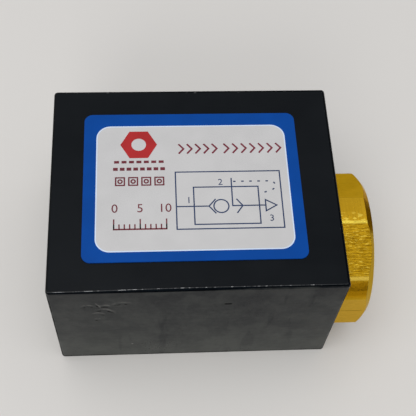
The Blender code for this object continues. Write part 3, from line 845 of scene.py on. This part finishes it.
def strip_points(points, width, closed):
    """Left and right edge points of a printed line, mitred at its corners."""
    count = len(points)
    pairs = []
    for i, point in enumerate(points):
        before = (point - points[i - 1]).normalized() if closed or i > 0 else None
        after = (points[(i + 1) % count] - point).normalized() if closed or i < count - 1 else None
        before = before or after
        after = after or before
        along = (before + after).normalized()
        side = Vector((-along.y, along.x)) * (width / 2 / max(along.dot(after), 0.3))
        pairs.append((point + side, point - side))
    return pairs


class Print:
    """Shapes of one colour of ink, in millimetres from the panel's centre, drawn flat and then thickened."""

    def __init__(self, name):
        self.name = name
        self.grid = bmesh.new()
        self.layers = 0

    def next_height(self):
        """Each shape lies a hair above the last, so that crossing lines don't share a plane."""
        self.layers += 1
        return PRINT_TOP + PRINT_LAYER * (self.layers % 8) / 2

    def line(self, points, width=SYMBOL_LINE, closed=False):
        """A line through points given in millimetres."""
        height = self.next_height()
        pairs = strip_points([PANEL_CENTRE + Vector(p) * MM for p in points], width, closed)
        ring = [tuple(self.grid.verts.new((p.x, p.y, height)) for p in pair) for pair in pairs]
        spans = len(ring) if closed else len(ring) - 1
        for i in range(spans):
            (left, right), (next_left, next_right) = ring[i], ring[(i + 1) % len(ring)]
            self.grid.faces.new((right, next_right, next_left, left))

    def circle(self, centre, radius, width=SYMBOL_LINE, steps=40):
        """A ring, as a closed line."""
        angles = [2 * math.pi * i / steps for i in range(steps)]
        points = [(centre[0] + radius * math.cos(a), centre[1] + radius * math.sin(a)) for a in angles]
        self.line(points, width, closed=True)

    def mesh(self):
        """The finished mesh of this ink."""
        flat = bpy.data.meshes.new(self.name)
        self.grid.to_mesh(flat)
        self.grid.free()
        shape = bpy.data.objects.new(self.name, flat)
        bpy.context.scene.collection.objects.link(shape)
        thicken = shape.modifiers.new("ink_thickness", "SOLIDIFY")
        thicken.thickness = PRINT_THICKNESS
        thicken.offset = -1.0
        return evaluated_mesh(shape, self.name)


def add_number(grid, text, centre, size):
    """Adds a plain printed number, centred on a point in millimetres from the panel's centre."""
    words = bpy.data.curves.new("number", "FONT")
    words.body = text
    words.size = size * MM
    words.align_x = "CENTER"
    words.align_y = "CENTER"
    words.extrude = PRINT_THICKNESS / 2
    words.resolution_u = 4
    shape = bpy.data.objects.new("number", words)
    bpy.context.scene.collection.objects.link(shape)
    mesh = evaluated_mesh(shape, "number")
    middle = PANEL_CENTRE + Vector(centre) * MM
    mesh.transform(Matrix.Translation((middle.x, middle.y, PRINT_TOP - PRINT_THICKNESS / 2)))
    grid.from_mesh(mesh)
    bpy.data.meshes.remove(mesh)


def make_mark_row_tree():
    """Repeats the mark that the object's own mesh holds, Count times, a Step apart."""
    tree, given, made = new_group(
        "mark_row", "GeometryNodeTree",
        [("Mark", "NodeSocketGeometry", None), ("Count", "NodeSocketInt", 5), ("Step", VECTOR, None),
         ("Finish", "NodeSocketMaterial", None)],
        [("Geometry", "NodeSocketGeometry", None)])
    places = add_node(tree, "GeometryNodeMeshLine", {"Count": given["Count"], "Offset": given["Step"]})
    copies = add_node(tree, "GeometryNodeInstanceOnPoints", {
        "Points": places.outputs["Mesh"], "Instance": given["Mark"]})
    real = add_node(tree, "GeometryNodeRealizeInstances", {"Geometry": copies.outputs["Instances"]})
    coated = add_node(tree, "GeometryNodeSetMaterial", {
        "Geometry": real.outputs["Geometry"], "Material": given["Finish"]})
    tree.links.new(coated.outputs["Geometry"], made["Geometry"])
    return tree


def mark_row(tree, name, mark, count, step, finish):
    """A row of equal printed marks as a mesh."""
    return run_tree(tree, name, {"Count": count, "Step": (step * MM, 0.0, 0.0), "Finish": finish}, base=mark)


def joined_mesh(name, meshes):
    """Several meshes as one."""
    grid = bmesh.new()
    for mesh in meshes:
        grid.from_mesh(mesh)
    result = bpy.data.meshes.new(name)
    grid.to_mesh(result)
    grid.free()
    return result


def make_label_base():
    """The blue film, its white rim and the pale panel that carries the print."""
    blue = make_print("label_blue", (0.0004, 0.0545, 0.290), 0.05)
    white = make_print("label_white", (0.60, 0.70, 0.86), 0.02)
    pale = make_print("label_pale", (0.532, 0.532, 0.538), 0.025)
    film = plate_mesh("label_film", rounded_outline(FILM_CENTRE, FILM_SIZE, FILM_CORNER),
                      BLOCK_HIGH.z + 0.004 * MM, FILM_TOP)
    as_piece(film, "label_film", BODY_HOUSING, blue, stands_for=("label",))
    rim = plate_mesh("label_rim", rounded_outline(PANEL_CENTRE, PANEL_SIZE, PANEL_CORNER),
                     FILM_TOP - LAYER_SINK, RIM_TOP)
    as_piece(rim, "label_rim", BODY_HOUSING, white)
    inset = Vector((PANEL_RIM, PANEL_RIM)) * 2
    outline = rounded_outline(PANEL_CENTRE, PANEL_SIZE - inset, PANEL_CORNER - PANEL_RIM)
    panel = plate_mesh("label_panel", outline, RIM_TOP - LAYER_SINK, PANEL_TOP)
    as_piece(panel, "label_panel", BODY_HOUSING, pale)


def make_flow_symbol(rows):
    """The flow symbol of a quick exhaust valve, with its ports numbered 1, 2 and 3."""
    navy = make_print("navy_ink", (0.030, 0.050, 0.115), 0.10)
    ink = Print("symbol_lines")
    ink.line([(-3.67, 3.34), (18.26, 3.34), (18.26, -10.25), (-3.67, -10.25)], closed=True)
    ink.line([(0.0, -0.41), (13.48, -0.41), (13.48, -9.21), (0.0, -9.21)], closed=True)
    ink.line([(-3.57, -4.98), (3.08, -4.98)])
    ink.line([(4.47, -3.31), (3.05, -5.00), (4.47, -6.71)])
    ink.circle((5.59, -5.01), 1.54)
    ink.line([(7.97, 1.71), (7.94, -4.96), (14.71, -4.96)])
    ink.line([(8.78, -3.35), (10.04, -4.97), (8.78, -6.71)])
    ink.line([(14.79, -3.66), (14.79, -6.31), (17.07, -4.99)], closed=True)
    for start, end in (((16.82, 0.61), (17.12, 0.19)), ((16.87, -0.96), (16.47, -1.26)),
                       ((15.23, -1.71), (14.74, -1.86))):
        ink.line([start, end], width=0.30 * MM)
    dash = Print("pilot_dash")
    dash.line([(8.34, 0.87), (8.88, 0.87)], width=0.30 * MM)
    dashes = mark_row(rows, "pilot_dashes", dash.mesh(), 5, 1.707, navy)
    numbers = bmesh.new()
    add_number(numbers, "1", (-1.05, -3.55), 2.1)
    add_number(numbers, "2", (5.66, 0.70), 2.1)
    add_number(numbers, "3", (15.85, -8.05), 2.1)
    digits = bpy.data.meshes.new("port_numbers")
    numbers.to_mesh(digits)
    numbers.free()
    mesh = joined_mesh("flow_symbol", (ink.mesh(), dashes, digits))
    as_piece(mesh, "flow_symbol", BODY_HOUSING, navy)


def make_title_arrows(rows):
    """Two groups of flow arrows above the symbol."""
    crimson = make_print("crimson_ink", (0.17, 0.028, 0.045), 0.10)
    meshes = []
    for start, step, count in ((-2.80, 1.78, 5), (6.85, 1.86, 7)):
        arrow = Print("title_arrow")
        arrow.line([(start, 10.35), (start + 1.05, 9.15), (start, 7.95)], width=0.38 * MM)
        meshes.append(mark_row(rows, "title_arrows", arrow.mesh(), count, step, crimson))
    as_piece(joined_mesh("title_arrows", meshes), "title_arrows", BODY_HOUSING, crimson)


def make_cap_pictogram():
    """A red picture of the hexagonal cap seen from its end."""
    red = make_print("red_ink", (0.385, 0.026, 0.028), 0.08)
    centre = PANEL_CENTRE + Vector((-11.25, 10.35)) * MM
    corners = [centre + 3.9 * MM * Vector((math.cos(math.radians(a)), math.sin(math.radians(a))))
               for a in range(0, 360, 60)]
    bore = [centre + 1.55 * MM * Vector((math.cos(math.radians(a)), math.sin(math.radians(a))))
            for a in range(0, 360, 10)]
    mesh = plate_mesh("cap_pictogram", corners, PRINT_TOP - PRINT_THICKNESS, PRINT_TOP, hole=bore)
    as_piece(mesh, "cap_pictogram", BODY_HOUSING, red)


def make_scale_print(rows):
    """Maroon bars and little block ends under the picture, and a plain scale from 0 to 10 below them."""
    maroon = make_print("maroon_ink", (0.15, 0.030, 0.042), 0.10)
    meshes = []
    for start, height, length, width, count, step in (
            (-16.45, 6.0, 1.05, 0.62, 7, 1.56), (-16.65, 4.25, 0.98, 0.74, 8, 1.41)):
        bar = Print("bar")
        bar.line([(start, height), (start + length, height)], width=width * MM)
        meshes.append(mark_row(rows, "bars", bar.mesh(), count, step, maroon))
    block_end = Print("block_end")
    block_end.line([(-16.1, 2.15), (-14.3, 2.15), (-14.3, 0.30), (-16.1, 0.30)], width=0.30 * MM, closed=True)
    block_end.circle((-15.2, 1.225), 0.42, width=0.30 * MM, steps=16)
    meshes.append(mark_row(rows, "block_ends", block_end.mesh(), 4, 2.72, maroon))
    ink = Print("scale_lines")
    ink.line([(-16.6, -10.05), (-5.6, -10.05)], width=0.34 * MM)
    for start, top, count, step in ((-16.45, -8.9, 11, 1.07), (-16.45, -7.7, 3, 5.35)):
        tick = Print("scale_tick")
        tick.line([(start, -10.05), (start, top)], width=0.27 * MM)
        meshes.append(mark_row(rows, "scale_ticks", tick.mesh(), count, step, maroon))
    numbers = bmesh.new()
    for text, place in (("0", -16.3), ("5", -11.1), ("10", -6.0)):
        add_number(numbers, text, (place, -5.3), 2.8)
    digits = bpy.data.meshes.new("scale_numbers")
    numbers.to_mesh(digits)
    numbers.free()
    mesh = joined_mesh("scale_print", (ink.mesh(), *meshes, digits))
    as_piece(mesh, "scale_print", BODY_HOUSING, maroon)


def make_label():
    """The label, from its film up to its print."""
    rows = make_mark_row_tree()
    make_label_base()
    make_flow_symbol(rows)
    make_title_arrows(rows)
    make_cap_pictogram()
    make_scale_print(rows)


def make_pieces():
    """Every piece of the valve with its finish."""
    black = make_black_anodised()
    gold = make_gold_anodised()
    nitrile = make_rubber("nitrile_rubber", (0.012, 0.012, 0.013), (0.026, 0.026, 0.027))
    ring_rubber = make_rubber("o_ring_rubber", (0.010, 0.010, 0.010), (0.020, 0.020, 0.020))
    as_piece(joined_copy("valve_body", "block", 35.0, round_upright_edges), "block", BODY_HOUSING,
             black, stands_for=("valve_body",))
    as_piece(seat_head(joined_copy("exhaust_cap", "hex_cap", 14.0)), "hex_cap", BODY_HOUSING,
             gold, stands_for=("exhaust_cap",))
    as_piece(joined_copy("lip_seal", "moving_seal", 35.0), "moving_seal", BODY_SEAL,
             nitrile, stands_for=("lip_seal",))
    as_piece(joined_copy("cap_o_ring", "flange_ring", 45.0), "flange_ring", BODY_HOUSING,
             ring_rubber, stands_for=("cap_o_ring",))
    make_threads(black, gold)
    make_label()


# Room, light and camera

def make_floor():
    """A plain pale floor, just under the block."""
    size = 3.0
    outline = [Vector((x * size / 2, y * size / 2)) for x, y in ((1, 1), (-1, 1), (-1, -1), (1, -1))]
    mesh = plate_mesh("floor", outline, -0.010, -0.01 * MM)
    material, tree, shader, position = start_finish("floor_finish", Roughness=0.75, Specular_IOR_Level=0.2)
    cloud = noise(tree, position, 4.0)
    shade = tint(tree, cloud, (0.61, 0.60, 0.585, 1.0), (0.64, 0.63, 0.615, 1.0))
    far = rescale(tree, vector_calc(tree, "LENGTH", position, result="Value"), 0.35, 1.45)
    glow = tint(tree, far, (0.055, 0.053, 0.050, 1.0), (0.25, 0.25, 0.25, 1.0))
    seen = add_node(tree, "ShaderNodeLightPath").outputs["Is Camera Ray"]
    join(tree, shader, Base_Color=shade, Emission_Color=tint(tree, seen, (0.0, 0.0, 0.0, 1.0), glow))
    shader.inputs["Emission Strength"].default_value = 1.0
    mesh.materials.append(material)
    floor = bpy.data.objects.new("floor", mesh)
    bpy.context.scene.collection.objects.link(floor)


def make_dark_card(name, rows, left, right, shade=0.03):
    """A dark card beside the valve, which only reflections show. rows are its edges' places in Y and Z."""
    grid = bmesh.new()
    left_edge, right_edge = ([grid.verts.new((x, y, z)) for y, z in rows] for x in (left, right))
    for i in range(len(rows) - 1):
        grid.faces.new((left_edge[i], left_edge[i + 1], right_edge[i + 1], right_edge[i]))
    mesh = bpy.data.meshes.new(name)
    grid.to_mesh(mesh)
    grid.free()
    material, _, shader, _ = start_finish(name + "_black", Roughness=0.9, Specular_IOR_Level=0.1)
    shader.inputs["Base Color"].default_value = (shade, shade, shade, 1.0)
    mesh.materials.append(material)
    card = bpy.data.objects.new(name, mesh)
    bpy.context.scene.collection.objects.link(card)
    card.visible_camera = False
    card.visible_diffuse = False
    card.visible_shadow = False
    card.visible_transmission = False


def make_dark_cards():
    """A card in front, for the block's front edge and the cap's round, and one behind for the chamfer."""
    make_dark_card("front_card", [(-0.20, 0.0002), (-0.50, 0.0002), (-0.50, 0.105)], -0.6, 0.6)
    make_dark_card("side_card", [(0.13, 0.0002), (0.019, 0.0002)], 0.084, 0.30, 0.16)


def make_lamp(name, place, aim, size, watts, colour):
    """A square soft light that points at aim."""
    data = bpy.data.lights.new(name, "AREA")
    data.shape = "SQUARE"
    data.size = size
    data.energy = watts
    data.color = colour
    lamp = bpy.data.objects.new(name, data)
    lamp.location = place
    lamp.rotation_euler = (Vector(aim) - Vector(place)).to_track_quat("-Z", "Y").to_euler()
    bpy.context.scene.collection.objects.link(lamp)


def make_lights():
    """A soft light overhead, a weak one from the front, and a room that is palest at the horizon."""
    make_lamp("overhead_light", (-0.14, -0.13, 0.92), (0.0, 0.0, 0.0), 0.75, 4.15, (1.0, 0.99, 0.97))
    make_lamp("front_light", (-0.22, -0.92, 0.58), (0.0, 0.0, 0.02), 0.50, 2.8, (1.0, 0.98, 0.95))
    world = bpy.data.worlds.new("room")
    bpy.context.scene.world = world
    world.use_nodes = True
    tree = world.node_tree
    background = tree.nodes["Background"]
    direction = add_node(tree, "ShaderNodeTexCoord").outputs["Generated"]
    axes = add_node(tree, "ShaderNodeSeparateXYZ", {0: direction}).outputs
    height, depth = axes["Z"], axes["Y"]
    colour = tint(tree, rescale(tree, height, 0.0, 0.9), (0.68, 0.67, 0.66, 1.0), (0.44, 0.45, 0.47, 1.0))
    to_front = rescale(tree, calc(tree, "MULTIPLY", depth, -1.0), 0.15, 0.60)
    low_front = calc(tree, "MULTIPLY", to_front, rescale(tree, height, 0.42, 0.30))
    colour = tint(tree, low_front, colour, (0.74, 0.73, 0.72, 1.0))
    overhead = calc(tree, "MULTIPLY", to_front, rescale(tree, height, 0.34, 0.56))
    colour = tint(tree, overhead, colour, (0.29, 0.29, 0.30, 1.0))
    to_back = calc(tree, "MULTIPLY", rescale(tree, depth, 0.05, 0.35), rescale(tree, height, 0.35, 0.65))
    colour = tint(tree, to_back, colour, (0.66, 0.65, 0.65, 1.0))
    tree.links.new(colour, background.inputs["Color"])
    background.inputs["Strength"].default_value = 1.0


def make_camera():
    """The photograph's viewpoint."""
    data = bpy.data.cameras.new("camera")
    data.lens = CAMERA_LENS
    data.sensor_width = CAMERA_SENSOR
    data.clip_start = 0.01
    data.clip_end = 10.0
    camera = bpy.data.objects.new("camera", data)
    camera.location = CAMERA_PLACE
    camera.rotation_euler = Euler([math.radians(a) for a in CAMERA_TURN], "XYZ")
    bpy.context.scene.collection.objects.link(camera)
    bpy.context.scene.camera = camera


make_camera()
make_pieces()
make_floor()
make_dark_cards()
make_lights()
bpy.context.scene.view_settings.view_transform = "Standard"
